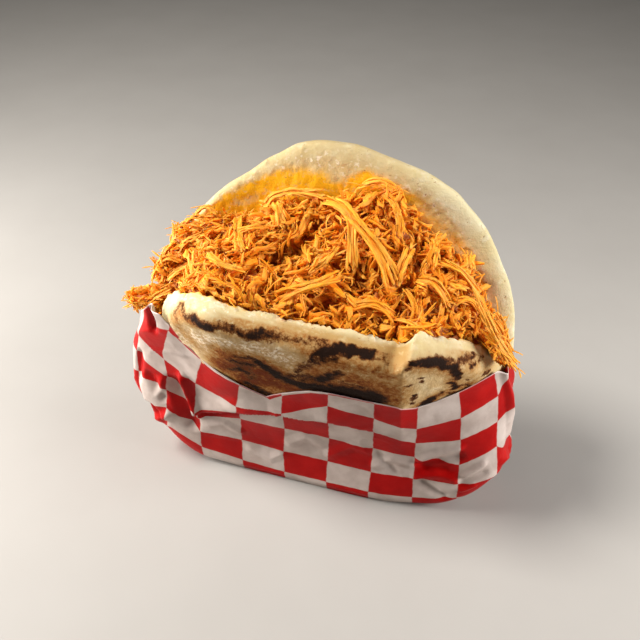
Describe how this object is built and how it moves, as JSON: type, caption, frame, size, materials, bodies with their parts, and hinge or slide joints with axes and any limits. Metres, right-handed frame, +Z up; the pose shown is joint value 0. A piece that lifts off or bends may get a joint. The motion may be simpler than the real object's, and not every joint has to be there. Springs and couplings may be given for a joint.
{
  "type": "shredded chicken arepa",
  "caption": "Griddled corn cake, slit open and stuffed with orange shredded chicken, standing on edge in a red and white checked paper pouch.",
  "frame": {"origin": "on the table, under the middle of the object's bounding box", "axes": "+X along the cake's width, -Y towards the shorter front leaf, +Z up"},
  "size_m": [0.1064, 0.051, 0.0939],
  "materials": {
    "corn_dough": "griddled corn dough, pale and rough with charred patches",
    "stewed_chicken": "moist stewed chicken, orange and fibrous",
    "checked_paper": "thin waxed deli paper with a red and white check"
  },
  "bodies": {
    "root": {"arepa_bread": "corn_dough", "shredded_chicken": "stewed_chicken", "paper_wrap": "checked_paper"}
  },
  "joints": []
}
